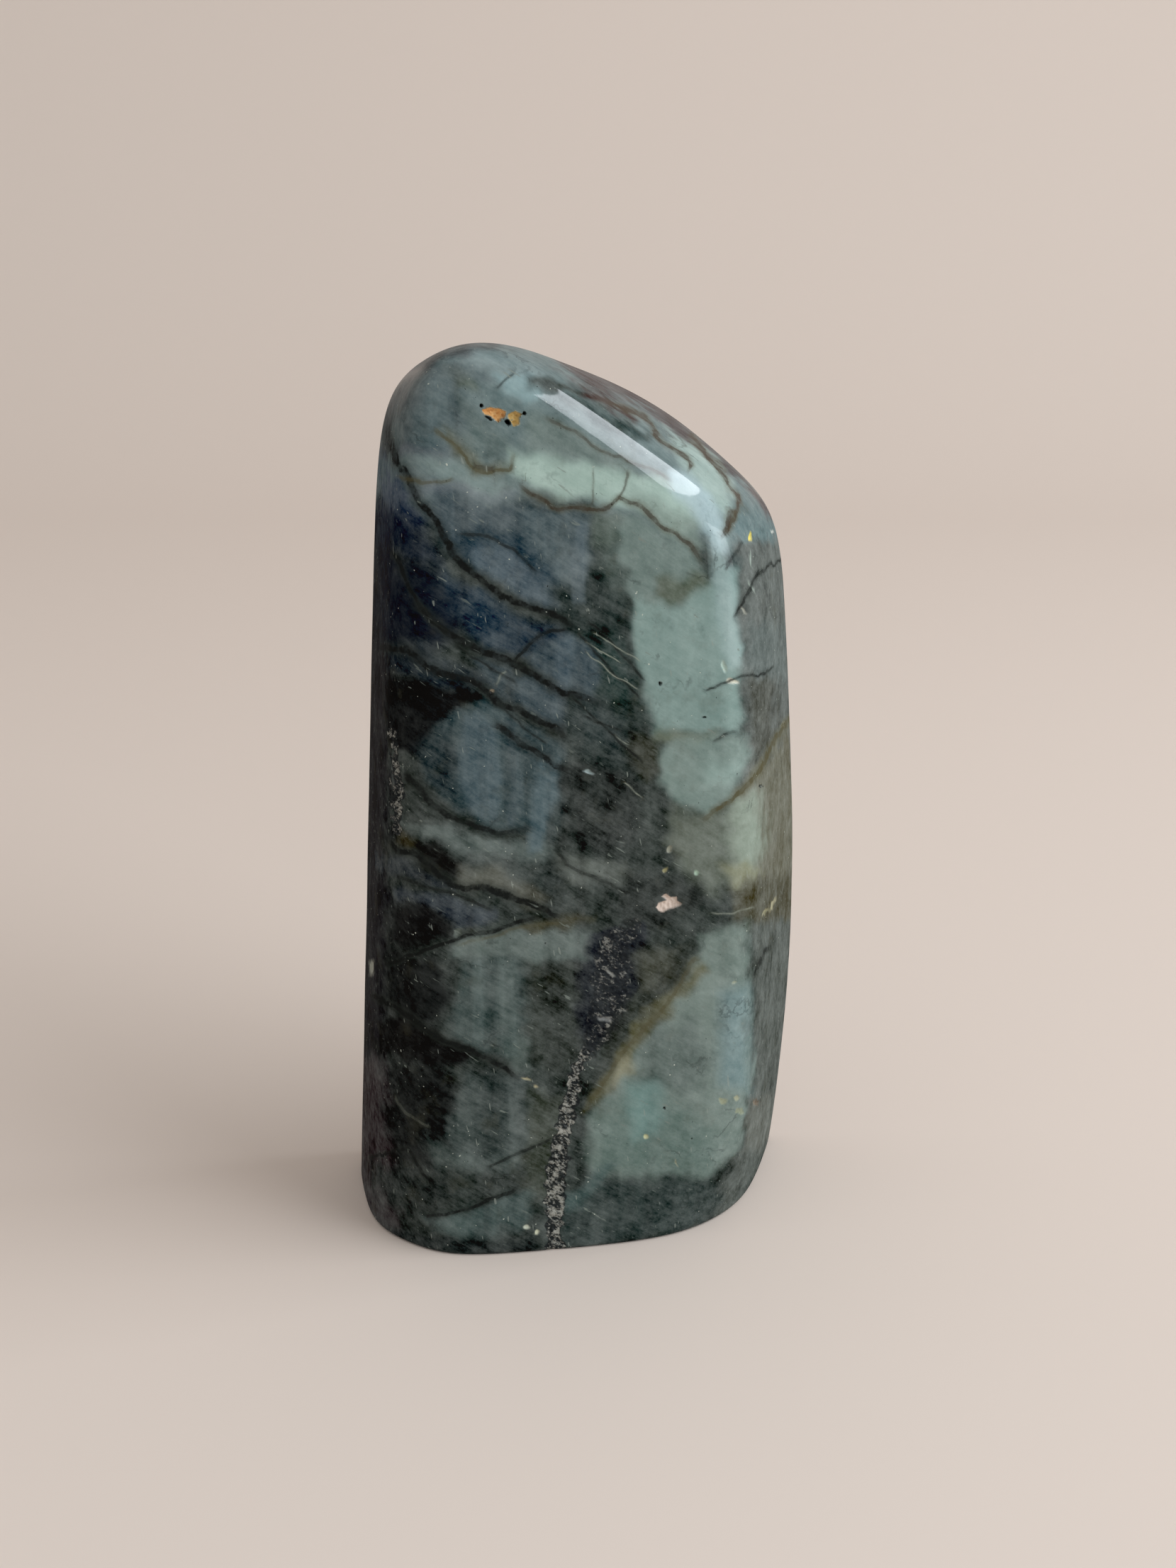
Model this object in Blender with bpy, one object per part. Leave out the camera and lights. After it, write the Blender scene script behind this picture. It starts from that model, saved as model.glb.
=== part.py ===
"""Polished labradorite: a free-standing stone, ground to soft faces and sawn flat underneath.

Metres, +Z up. The origin lies on the sawn base, under the middle of the stone's outline.
The broad front face looks towards -Y.
"""
import math

import bmesh
import bpy
import numpy as np
from mathutils import Vector, noise

MM = 0.001

# The wheel ground the stone down from many sides. Each ground face is the plane it left:
# the way it looks (degrees round the stone from +X, degrees up) and its distance in
# millimetres from the heart of the stone.
HEART = (1.0, 0.65, 52.0)
GROUND_FACES = {
    "front": (-81, 2, 17.5),
    "front edge": (-35, 3, 26.0),
    "right side": (-15, 1, 23.5),
    "back": (95, -6, 15.0),
    "back right": (29, 11, 32.0),
    "back left": (141, 1, 26.0),
    "left side": (-169, 3, 26.5),
    "front left": (-124, -1, 28.5),
    "top slope": (-1, 56, 44.5),
    "top left": (-177, 51, 56.5),
    "upper left": (175, 10, 42.0),
    "upper right": (9, 21, 48.0),
    "lower right": (-12, -10, 32.0),
    "top back": (103, 68, 56.5),
    "low front": (-51, -16, 34.0),
    "shoulder": (-39, 37, 42.0),
}
CRISPNESS = 14  # the higher, the less the polishing has rounded the edges between faces

# The rough block that the skin is drawn from, in millimetres
BLOCK = (58.0, 42.0, 112.0)
BLOCK_CELLS = (22, 18, 38)
CROWN_START = 60.0  # above this height the block is drawn in towards one point
REACH = 90.0  # farther from the heart than any point of the stone
RIM_BEVEL = 0.6  # softened edge round the sawn base

# Natural flaws of the front: (x, z, half length, half height, turn in degrees, depth),
# in millimetres, as seen from straight ahead.
POCKETS = {
    "ochre pocket, left lobe": (-8.6, 102.9, 1.9, 1.15, 8, 1.3),
    "ochre pocket, right lobe": (-6.5, 102.2, 1.5, 1.0, -20, 1.1),
    "pale chip": (11.2, 44.9, 1.9, 0.9, 10, 0.5),
}
# The crumbling seam runs down to the base, and a crack runs by the left edge:
# (x, z, half width) points, in millimetres
SEAM_RUN = (
    (6.6, 42.0, 1.2),
    (5.2, 37.0, 2.6),
    (4.0, 32.0, 2.2),
    (1.8, 28.0, 1.4),
    (0.0, 23.9, 1.2),
    (-0.9, 18.7, 1.1),
    (-1.7, 11.8, 1.0),
    (-2.5, 5.0, 0.9),
    (-2.7, 0.0, 1.0),
)
EDGE_CRACK = (
    (-21.3, 66.0, 0.5),
    (-20.5, 63.0, 0.6),
    (-20.5, 57.2, 0.6),
    (-20.9, 54.4, 0.5),
)
SEAM_DEPTH = 0.25
CRACK_DEPTH = 0.4
FLAW_MARGIN = 0.2  # how far the finest mesh runs past a flaw
FLAW_CELL = 0.75  # longest edge allowed in a flaw
SHORTEST_EDGE = 0.05  # closer points are merged
GRIT = 1.6  # cells of roughness to the millimetre, in the open seam
SHARP_EDGE = math.radians(40)
STONE_COLOUR = (0.075, 0.095, 0.095, 1.0)


def face_table():
    """Unit normals and distances of the ground faces."""
    rows = np.array(list(GROUND_FACES.values()), dtype=float)
    way, tilt = np.radians(rows[:, 0]), np.radians(rows[:, 1])
    normals = np.stack(
        [np.cos(way) * np.cos(tilt), np.sin(way) * np.cos(tilt), np.sin(tilt)], axis=1
    )
    return normals, rows[:, 2]


NORMALS, DISTANCES = face_table()


def fullness(points):
    """Below 1 inside the stone, 1 on its skin: the ground faces blended softly."""
    share = np.maximum(0.0, (points - np.array(HEART)) @ NORMALS.T / DISTANCES)
    return (share**CRISPNESS).sum(axis=1) ** (1 / CRISPNESS)


def onto_skin(points):
    """Move points of the block straight out or in until they lie on the stone's skin."""
    start = np.repeat([HEART], len(points), axis=0)
    start[:, 2] = np.minimum(points[:, 2], CROWN_START)
    way = points - start
    way /= np.linalg.norm(way, axis=1, keepdims=True)
    inner, outer = np.zeros(len(points)), np.full(len(points), REACH)
    for _ in range(40):
        middle = (inner + outer) / 2
        inside = fullness(start + way * middle[:, None]) < 1
        inner = np.where(inside, middle, inner)
        outer = np.where(inside, outer, middle)
    return start + way * inner[:, None]


def place_on_skin(verts):
    """Set bmesh vertices onto the skin, in millimetres."""
    found = onto_skin(np.array([vert.co for vert in verts]))
    for vert, spot in zip(verts, found):
        vert.co = spot


def rough_block():
    """A block of even cells standing on z = 0, open underneath."""
    bm = bmesh.new()
    bmesh.ops.create_cube(bm, size=1)
    for axis, cells in enumerate(BLOCK_CELLS):
        along = [
            edge
            for edge in bm.edges
            if abs((edge.verts[0].co - edge.verts[1].co)[axis]) > 0.99 * edge.calc_length()
        ]
        bmesh.ops.subdivide_edges(bm, edges=along, cuts=cells - 1, use_grid_fill=True)
    bmesh.ops.translate(bm, verts=bm.verts, vec=(0, 0, 0.5))
    bmesh.ops.scale(bm, verts=bm.verts, vec=BLOCK)
    bmesh.ops.translate(bm, verts=bm.verts, vec=(HEART[0], HEART[1], 0))
    bottom = [face for face in bm.faces if all(vert.co.z < MM for vert in face.verts)]
    bmesh.ops.delete(bm, geom=bottom, context="FACES")
    return bm


def saw_base(bm):
    """Close the stone with one flat face and soften the rim round it."""
    rim = [edge for edge in bm.edges if edge.is_boundary]
    bmesh.ops.edgeloop_fill(bm, edges=rim)
    bmesh.ops.bevel(
        bm,
        geom=rim,
        offset=RIM_BEVEL,
        offset_type="OFFSET",
        segments=2,
        profile=0.5,
        affect="EDGES",
        material=-1,
    )


def in_pocket(x, z, pocket):
    """1 at the middle of an oval pocket, 0 at its edge and below 0 outside it."""
    px, pz, half_long, half_high, turn, _ = pocket
    turn = math.radians(turn)
    along = (x - px) * math.cos(turn) + (z - pz) * math.sin(turn)
    across = (z - pz) * math.cos(turn) - (x - px) * math.sin(turn)
    return 1 - math.hypot(along / half_long, across / half_high)


def in_run(x, z, run):
    """1 on the middle line of a seam, 0 at its edge and below 0 outside it."""
    spot = Vector((x, z, 0))
    nearest = -math.inf
    for (x0, z0, wide0), (x1, z1, wide1) in zip(run, run[1:]):
        start, way = Vector((x0, z0, 0)), Vector((x1 - x0, z1 - z0, 0))
        part = max(0.0, min(1.0, (spot - start).dot(way) / way.length_squared))
        wide = wide0 + part * (wide1 - wide0)
        nearest = max(nearest, 1 - (spot - start - part * way).length / wide)
    return nearest


def bowl(inside, depth):
    """Depth of a hollow whose walls are steep at the edge and whose floor is flat."""
    return depth * math.sqrt(max(0.0, 1 - (1 - min(1.0, inside)) ** 2)) if inside > 0 else 0.0


def flaw_depth(co):
    """How far the natural flaws reach in below the polished skin at a point of the front."""
    if co.y > HEART[1]:
        return 0.0
    x, z = co.x, co.z
    pockets = max(bowl(in_pocket(x, z, pocket), pocket[5]) for pocket in POCKETS.values())
    seam = bowl(in_run(x, z, SEAM_RUN), SEAM_DEPTH)
    crack = bowl(in_run(x, z, EDGE_CRACK), CRACK_DEPTH)
    grit = 1 + 0.8 * noise.noise(co * GRIT)
    return max(pockets, seam * grit, crack * grit)


def beyond_flaws(co):
    """Roughly how far a point lies outside the nearest flaw, in millimetres."""
    if co.y > HEART[1]:
        return math.inf
    x, z = co.x, co.z
    past_pocket = min(-in_pocket(x, z, pocket) * pocket[3] for pocket in POCKETS.values())
    return min(past_pocket, -in_run(x, z, SEAM_RUN), -in_run(x, z, EDGE_CRACK))


def refine_flaws(bm):
    """Halve the edges at the flaws until they can hold the hollows."""
    while True:
        coarse = [
            edge
            for edge in bm.edges
            if edge.calc_length() > FLAW_CELL
            and beyond_flaws((edge.verts[0].co + edge.verts[1].co) / 2)
            < FLAW_MARGIN + edge.calc_length() / 2
        ]
        if not coarse:
            break
        made = bmesh.ops.subdivide_edges(
            bm, edges=coarse, cuts=1, use_grid_fill=True, use_single_edge=True
        )
        fresh = [item for item in made["geom_inner"] if isinstance(item, bmesh.types.BMVert)]
        place_on_skin([vert for vert in fresh if vert.co.z > RIM_BEVEL])


def cut_flaws(bm):
    """Press the hollows in, level, so that the sawn base stays flat."""
    moves = []
    for vert in bm.verts:
        depth = flaw_depth(vert.co)
        if depth > 0:
            out = Vector((vert.normal.x, vert.normal.y, 0)).normalized()
            moves.append((vert, vert.co - out * depth))
    for vert, spot in moves:
        vert.co = spot


def stone_material():
    material = bpy.data.materials.new("polished labradorite")
    material.use_nodes = True
    shader = material.node_tree.nodes["Principled BSDF"]
    shader.inputs["Base Color"].default_value = STONE_COLOUR
    shader.inputs["Roughness"].default_value = 0.12
    shader.inputs["Metallic"].default_value = 0.0
    shader.inputs["Coat Weight"].default_value = 1.0
    material.diffuse_color = STONE_COLOUR
    return material


def build_stone(collection):
    bm = rough_block()
    place_on_skin(bm.verts)
    bmesh.ops.recalc_face_normals(bm, faces=bm.faces)
    saw_base(bm)
    refine_flaws(bm)
    bm.normal_update()
    cut_flaws(bm)
    bmesh.ops.remove_doubles(bm, verts=bm.verts, dist=SHORTEST_EDGE)
    bmesh.ops.triangulate(bm, faces=bm.faces)
    bmesh.ops.scale(bm, verts=bm.verts, vec=(MM, MM, MM))
    bmesh.ops.recalc_face_normals(bm, faces=bm.faces)
    mesh = bpy.data.meshes.new("labradorite_stone")
    bm.to_mesh(mesh)
    bm.free()
    mesh.shade_smooth()
    mesh.set_sharp_from_angle(angle=SHARP_EDGE)
    mesh.materials.append(stone_material())
    stone = bpy.data.objects.new("labradorite_stone", mesh)
    collection.objects.link(stone)
    return stone


def main():
    for old in list(bpy.data.objects):
        bpy.data.objects.remove(old, do_unlink=True)
    collection = bpy.data.collections.new("polished labradorite")
    bpy.context.scene.collection.children.link(collection)
    build_stone(collection)


main()
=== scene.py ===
"""Looks of the polished labradorite: its fine skin, colour clouds, seams, flaws and light."""
import math

import bmesh
import bpy
import numpy as np
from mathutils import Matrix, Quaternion, Vector, noise


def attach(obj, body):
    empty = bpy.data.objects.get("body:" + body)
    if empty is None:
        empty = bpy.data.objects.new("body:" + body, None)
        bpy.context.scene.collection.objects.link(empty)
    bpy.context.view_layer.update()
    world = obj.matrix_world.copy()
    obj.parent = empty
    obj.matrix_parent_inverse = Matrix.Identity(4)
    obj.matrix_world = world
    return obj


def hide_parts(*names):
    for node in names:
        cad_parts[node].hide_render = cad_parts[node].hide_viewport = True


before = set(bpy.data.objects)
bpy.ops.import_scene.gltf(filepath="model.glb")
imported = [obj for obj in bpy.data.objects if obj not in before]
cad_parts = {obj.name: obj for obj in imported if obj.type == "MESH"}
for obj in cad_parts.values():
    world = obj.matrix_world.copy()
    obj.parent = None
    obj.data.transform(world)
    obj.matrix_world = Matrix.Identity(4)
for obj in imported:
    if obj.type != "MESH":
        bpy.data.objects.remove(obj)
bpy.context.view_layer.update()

MM = 0.001

# Form of the stone, in millimetres, as in its construction: the planes that the wheel left,
# each with the way it looks (degrees round from +X, degrees up) and its distance from the heart
HEART = (1.0, 0.65, 52.0)
GROUND_FACES = {
    "front": (-81, 2, 17.5),
    "front edge": (-35, 3, 26.0),
    "right side": (-15, 1, 23.5),
    "back": (95, -6, 15.0),
    "back right": (29, 11, 32.0),
    "back left": (141, 1, 26.0),
    "left side": (-169, 3, 26.5),
    "front left": (-124, -1, 28.5),
    "top slope": (-1, 56, 44.5),
    "top left": (-177, 51, 56.5),
    "upper left": (175, 10, 42.0),
    "upper right": (9, 21, 48.0),
    "lower right": (-12, -10, 32.0),
    "top back": (103, 68, 56.5),
    "low front": (-51, -16, 34.0),
    "shoulder": (-39, 37, 42.0),
}
CRISPNESS = 14  # the higher, the less the polishing has rounded the edges between faces
BLOCK = (58.0, 42.0, 112.0)  # the rough block that the skin is drawn from
BLOCK_CELLS = (60, 43, 116)
CROWN_START = 60.0  # above this height the block is drawn in towards one point
REACH = 90.0  # farther from the heart than any point of the stone
RIM_BEVEL = 0.6  # softened edge round the sawn base
SEEN_CELL = 0.6  # longest edge where the photograph shows the stone
FLAW_CELL = 0.17  # longest edge in a flaw
LONGEST_CUT = 5.0  # longer edges cross the sawn base and stay whole
FLAW_MARGIN = 0.7  # share of an edge's length at which it counts as near a flaw
WAVER = 0.05  # unevenness that hand polishing leaves
WAVER_SIZE = 11.0
SWIRL_SEED = 7  # without it the swirls and ragged edges differ each run
GRIT_SIZE = 0.33  # of the roughness in the hollows
JITTER_SIZE = 0.9  # of the raggedness round the flaws
SKIN_DEPTH = 0.3  # points buried less than this are skin that the camera sees
FOLD_DEPTH = 1.5  # from here on in the pattern is folded back at its ends
FRONT_DEPTH = 3.0  # from here on in, what shows only in front is gone
SHARP_EDGE = math.radians(50)
HALVINGS = 36  # steps of the search for the skin
NARROWINGS = 30  # steps of the search for how deep a point is buried
SEARCH_START = 0.6  # share of the way from the eye at which that search sets out

# The photograph's camera, in millimetres, and its frame, in pixels
EYE = (1.5, -258.35, 138.5)
LOOK_DOWN = math.radians(18)
LENS = 50.0
SENSOR = 36.0
PHOTO = (1659, 2212)
PIXELS = LENS / SENSOR * PHOTO[1]
PIXELS_PER_MM = 11.2  # at the stone's front face

# The stone's layers run through it at a slant: how far the pattern shifts, in pixels across
# and up, for each millimetre deeper into the stone
SLANT = (5.2, -3.6)
PATTERN_SIDES = (512, 1112)
PATTERN_ENDS = (492, 1764)

# Swirls of the pattern: their size in millimetres and how far they shift it, in pixels
DEEP_SWIRLS = ((16, 4.5),)  # for each millimetre deeper into the stone
PATTERN_SWIRLS = ((3.4, 4), (1.2, 2.6))
CLOUD_SWIRLS = ((5.5, 9), (1.9, 9))

# Edges of the flaws, in pixels: how far the raggedness shifts those of outlines, ovals and
# runs, and over how many pixels a hollow's wall drops
OUTLINE_JITTER = 1.5
OVAL_JITTER = 3.2
RUN_JITTER = 7
OUTLINE_WALL = 2.2
OVAL_WALL = 2.5
OVAL_INSET = 0.3  # in walls: how far an oval's wall starts inside its edge
FLOOR_START = 1.6  # in walls: how far in the hollow's floor is flat
RUN_STEEPNESS = 2.5  # how quickly a run opens from its edge to its middle
RUN_SPREAD = 4  # pixels: half width of a run, roughly, for the size of the cells by it

# Clouds of colour inside the stone, painted from the deepest up, with painted shade on the left
# flank and painted highlights on the crown and the right ridge among them: name, colour
# (0 to 255), softness of the edge in pixels, strength, outline in the photo's pixels. The
# outlines of the first clouds are swirled. The second are painted reflections, the sheen round
# the shoulder and soft upright reflection bands: their outlines stay as they are, and they show
# only in front.
BODY_COLOUR = (56, 63, 60)
SWIRLED_CLOUDS = (
    # painted shade: the left flank, turned away from the light, painted near black
    ("left flank", (25, 26, 30), 14, 1,
     ((500, 640), (548, 640), (556, 900), (548, 1200), (544, 1500), (556, 1780), (500, 1780))),
    ("left foot", (68, 64, 65), 12, 0.85,
     ((500, 1490), (536, 1490), (552, 1600), (560, 1740), (500, 1740))),
    ("crown", (104, 120, 120), 26, 1,
     ((520, 470), (760, 470), (900, 540), (1110, 720), (1110, 800), (960, 760), (800, 700),
      (700, 690), (600, 720), (520, 700))),
    ("crown shade", (82, 97, 100), 22, 0.8,
     ((570, 545), (640, 535), (670, 580), (640, 640), (570, 640), (556, 590))),
    ("crown light", (116, 130, 130), 14, 0.8,
     ((660, 485), (740, 488), (770, 530), (735, 560), (690, 540), (650, 510))),
    ("crown rim", (76, 80, 82), 9, 0.8,
     ((520, 640), (530, 560), (600, 490), (700, 470), (700, 490), (620, 512), (575, 550),
      (550, 600), (545, 650))),
    ("mint glint", (132, 156, 158), 10, 0.85,
     ((700, 530), (748, 530), (758, 560), (735, 575), (712, 560))),
    ("upper strip", (76, 72, 73), 10, 1,
     ((768, 480), (840, 500), (960, 580), (1100, 720), (1100, 760), (1050, 690), (960, 612),
      (880, 560), (806, 536))),
    ("crown olive", (82, 90, 74), 8, 0.6,
     ((626, 522), (660, 526), (672, 548), (640, 554))),
    ("dark by the pocket", (74, 88, 84), 9, 0.8,
     ((742, 586), (786, 594), (836, 624), (880, 650), (872, 662), (820, 640), (768, 622),
      (742, 606))),
    ("dark by the rim", (80, 90, 92), 10, 0.7,
     ((556, 560), (588, 520), (606, 530), (588, 580), (580, 640), (560, 640))),
    ("crown smoke", (82, 96, 92), 9, 0.5,
     ((640, 560), (668, 566), (690, 606), (724, 618), (730, 640), (700, 650), (662, 620))),
    ("crown smoke, upper", (84, 96, 98), 8, 0.6,
     ((600, 520), (650, 512), (690, 520), (700, 540), (650, 536), (610, 548))),
    ("crown haze", (94, 100, 108), 9, 0.6,
     ((560, 632), (640, 632), (650, 650), (600, 656), (560, 650))),
    ("dark before rust", (60, 66, 62), 8, 0.9,
     ((738, 534), (790, 538), (828, 548), (824, 562), (780, 558), (742, 550))),
    ("rust strip", (50, 30, 28), 7, 0.95,
     ((818, 546), (850, 550), (882, 568), (904, 590), (890, 596), (862, 580), (838, 568),
      (814, 562))),
    ("under rust", (50, 64, 62), 8, 0.9,
     ((780, 562), (830, 568), (880, 592), (918, 614), (900, 620), (850, 600), (790, 576))),
    ("right wedge", (152, 172, 166), 12, 0.9,
     ((940, 605), (985, 628), (1032, 680), (1040, 712), (1018, 735), (1000, 700), (972, 660))),
    ("shoulder corner", (98, 117, 118), 10, 0.9,
     ((1038, 680), (1092, 735), (1100, 780), (1052, 770), (1030, 745))),
    ("under the shine", (112, 126, 122), 14, 0.8,
     ((745, 590), (860, 625), (940, 680), (900, 690), (820, 660), (745, 640))),
    ("pale mint", (158, 180, 171), 13, 0.95,
     ((725, 640), (800, 650), (880, 662), (965, 690), (985, 745), (960, 750), (900, 712),
      (850, 706), (790, 706), (745, 690), (722, 665))),
    ("pale mint, low", (122, 138, 130), 10, 0.7,
     ((885, 700), (930, 706), (985, 745), (992, 780), (965, 765), (925, 735))),
    ("pale left", (124, 142, 140), 16, 0.8,
     ((590, 650), (640, 640), (700, 672), (740, 690), (720, 712), (650, 700), (600, 700))),
    ("olive smudge", (86, 88, 70), 9, 0.7,
     ((628, 600), (660, 622), (690, 652), (722, 655), (712, 668), (668, 668), (640, 640))),
    ("slate band", (86, 98, 102), 18, 0.9,
     ((585, 668), (640, 690), (720, 705), (765, 722), (740, 760), (660, 752), (610, 730))),
    ("pale stripe", (108, 116, 122), 7, 0.5,
     ((560, 686), (640, 682), (725, 692), (725, 704), (640, 699), (560, 701))),
    ("slate low", (56, 72, 80), 14, 0.9,
     ((600, 720), (660, 745), (740, 752), (800, 800), (830, 850), (760, 845), (690, 815),
      (630, 770))),
    ("slate cell", (86, 100, 107), 8, 0.85,
     ((662, 765), (712, 772), (752, 805), (800, 850), (790, 862), (735, 838), (690, 812),
      (664, 790))),
    ("smoky cell", (84, 97, 100), 12, 0.9,
     ((730, 712), (790, 722), (830, 735), (835, 800), (815, 850), (780, 815), (745, 770),
      (722, 740))),
    ("grey teal", (116, 133, 128), 12, 0.9,
     ((870, 722), (905, 728), (960, 762), (990, 800), (1000, 840), (930, 860), (890, 840),
      (872, 780))),
    ("olive smear", (84, 90, 74), 8, 0.7,
     ((925, 818), (962, 810), (1004, 816), (994, 834), (952, 852), (925, 842))),
    ("mint domain", (126, 148, 143), 11, 1,
     ((890, 840), (960, 852), (1036, 800), (1042, 900), (1048, 1012), (1030, 1036), (985, 1034),
      (922, 1030), (906, 975), (893, 910))),
    # painted highlight: the pale reflection running down the right ridge below the shoulder
    ("mint glow", (136, 160, 158), 12, 0.7,
     ((1008, 800), (1036, 800), (1044, 930), (1024, 935), (1010, 870))),
    ("dark above centre", (72, 84, 80), 12, 0.8,
     ((846, 776), (868, 770), (884, 806), (880, 860), (830, 860), (838, 806))),
    ("grey above centre", (92, 104, 98), 8, 0.8,
     ((832, 724), (872, 726), (876, 770), (838, 778))),
    ("dark centre", (40, 50, 48), 16, 1,
     ((770, 830), (850, 800), (882, 850), (890, 930), (902, 1020), (900, 1090), (840, 1100),
      (790, 1040), (800, 960), (790, 880))),
    ("green in the dark", (56, 72, 69), 22, 0.6,
     ((820, 900), (880, 905), (905, 960), (900, 1010), (850, 990), (820, 950))),
    ("right facet", (92, 98, 95), 9, 1,
     ((1042, 760), (1110, 760), (1130, 1000), (1130, 1080), (1100, 1060), (1052, 1110),
      (1048, 1000), (1044, 880))),
    ("facet light", (94, 104, 102), 14, 0.7,
     ((1050, 880), (1110, 870), (1118, 960), (1050, 950))),
    ("facet shade", (70, 72, 65), 10, 0.75,
     ((1058, 958), (1092, 956), (1094, 1030), (1072, 1085), (1056, 1080))),
    ("navy", (3, 15, 30), 16, 1,
     ((530, 760), (570, 790), (640, 840), (640, 900), (600, 915), (545, 905), (528, 860))),
    ("left slate", (58, 70, 88), 12, 0.8,
     ((540, 640), (575, 690), (600, 740), (590, 760), (545, 730), (535, 690))),
    ("left dusk", (20, 33, 48), 14, 0.9,
     ((530, 700), (590, 740), (625, 790), (600, 800), (530, 760))),
    ("slate blue", (44, 59, 70), 12, 0.9,
     ((620, 800), (700, 850), (790, 885), (800, 905), (760, 930), (700, 925), (660, 900),
      (625, 860))),
    ("teal dark", (6, 20, 32), 16, 0.7,
     ((560, 790), (620, 800), (640, 840), (640, 880), (580, 850))),
    ("slate strip", (28, 40, 48), 9, 0.85,
     ((548, 905), (620, 915), (660, 945), (690, 960), (665, 975), (610, 962), (550, 945))),
    ("cell between seams", (60, 72, 76), 8, 0.9,
     ((668, 925), (712, 935), (790, 965), (800, 1010), (792, 1030), (740, 1000), (690, 975))),
    ("grey cell", (74, 87, 92), 9, 0.9,
     ((745, 925), (800, 895), (830, 915), (850, 950), (840, 990), (800, 975), (765, 950))),
    ("smoke right of the seams", (42, 54, 55), 16, 0.6,
     ((810, 1000), (850, 985), (880, 1020), (870, 1060), (830, 1045), (805, 1020))),
    ("black wedge", (4, 8, 10), 7, 1,
     ((545, 955), (620, 962), (674, 980), (640, 1010), (600, 1050), (575, 1062), (552, 1050),
      (545, 1000))),
    ("big cell", (68, 82, 84), 10, 1,
     ((676, 985), (720, 1000), (790, 1050), (800, 1090), (785, 1150), (745, 1172), (690, 1165),
      (640, 1140), (600, 1100), (590, 1060), (640, 1010))),
    ("big cell's dark side", (30, 42, 45), 12, 0.8,
     ((584, 1050), (626, 1030), (642, 1060), (634, 1120), (600, 1104))),
    ("low band", (100, 111, 108), 8, 0.85,
     ((562, 1158), (640, 1172), (700, 1184), (780, 1194), (800, 1214), (740, 1212), (660, 1202),
      (590, 1186))),
    ("pale vein of the band", (70, 82, 82), 5, 0.7,
     ((748, 1172), (772, 1150), (788, 1120), (794, 1150), (780, 1190), (752, 1196))),
    ("charcoal", (38, 44, 42), 10, 0.9,
     ((790, 1080), (870, 1080), (905, 1110), (900, 1190), (850, 1200), (800, 1180), (785, 1130))),
    ("smoke in the charcoal", (54, 59, 57), 14, 0.7,
     ((820, 1130), (868, 1140), (894, 1185), (862, 1200), (822, 1180))),
    ("ochre fringe", (66, 62, 40), 7, 0.7,
     ((556, 1168), (580, 1184), (592, 1200), (572, 1206), (552, 1190))),
    ("black pocket", (5, 7, 5), 9, 1,
     ((583, 1192), (620, 1195), (648, 1215), (640, 1236), (600, 1232), (582, 1215))),
    ("stripe over the pocket", (62, 69, 73), 6, 0.8,
     ((532, 1202), (580, 1222), (636, 1243), (640, 1256), (580, 1242), (530, 1220))),
    ("haze under the band", (84, 92, 90), 10, 0.5,
     ((650, 1198), (740, 1208), (800, 1222), (800, 1270), (720, 1246), (656, 1234))),
    ("brown under the band", (98, 99, 89), 9, 0.6,
     ((640, 1222), (700, 1226), (770, 1262), (760, 1284), (700, 1256), (646, 1244))),
    ("slate stripe", (70, 78, 84), 7, 0.8,
     ((556, 1254), (640, 1264), (700, 1284), (704, 1302), (650, 1300), (590, 1280), (552, 1270))),
    ("smudge", (98, 105, 100), 10, 0.8,
     ((780, 1203), (840, 1208), (894, 1236), (888, 1254), (830, 1246), (785, 1230))),
    ("olive under mint", (112, 122, 108), 10, 0.9,
     ((925, 1026), (960, 1032), (1010, 1036), (1010, 1052), (960, 1052), (925, 1046))),
    ("low mint", (122, 140, 134), 12, 0.95,
     ((925, 1056), (980, 1040), (1048, 1038), (1054, 1075), (1036, 1120), (1000, 1148),
      (960, 1140), (930, 1100))),
    ("low mint glow", (148, 170, 164), 12, 0.6,
     ((1000, 1075), (1046, 1080), (1030, 1105), (995, 1100))),
    ("brown fringe", (62, 64, 54), 9, 0.7,
     ((894, 1030), (926, 1046), (928, 1085), (905, 1100), (886, 1066))),
    ("grey olive", (106, 114, 105), 14, 0.9,
     ((948, 1140), (985, 1150), (1042, 1136), (1040, 1250), (1000, 1262), (962, 1230),
      (944, 1190))),
    ("olive right", (104, 105, 93), 10, 0.95,
     ((1075, 1080), (1112, 1020), (1125, 1080), (1125, 1300), (1080, 1300), (1040, 1290),
      (1030, 1180), (1040, 1120))),
    ("brown corner", (72, 72, 60), 14, 0.8,
     ((1036, 1256), (1070, 1236), (1122, 1230), (1126, 1300), (1040, 1312))),
    ("pale patch", (142, 156, 144), 16, 0.8,
     ((1034, 1128), (1072, 1120), (1078, 1190), (1060, 1226), (1034, 1222), (1024, 1180))),
    ("beige patch", (134, 138, 116), 8, 0.8,
     ((1012, 1222), (1054, 1212), (1072, 1232), (1040, 1252))),
    ("dark mottle", (40, 45, 43), 12, 0.9,
     ((880, 1235), (985, 1244), (992, 1280), (960, 1296), (900, 1320), (870, 1290))),
    ("olive gold", (70, 69, 52), 8, 0.8,
     ((738, 1302), (800, 1290), (832, 1298), (800, 1316), (746, 1320))),
    ("seam head", (38, 43, 47), 4, 1,
     ((816, 1318), (850, 1312), (908, 1296), (912, 1340), (896, 1400), (886, 1450), (846, 1478),
      (812, 1500), (818, 1420), (812, 1360))),
    ("black upper", (4, 6, 7), 10, 1,
     ((548, 1272), (600, 1280), (640, 1300), (625, 1325), (580, 1338), (548, 1338))),
    ("pale band", (98, 110, 106), 8, 0.9,
     ((628, 1328), (700, 1312), (830, 1316), (835, 1350), (780, 1358), (700, 1352), (640, 1350))),
    ("teal column", (74, 86, 84), 9, 0.9,
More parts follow.
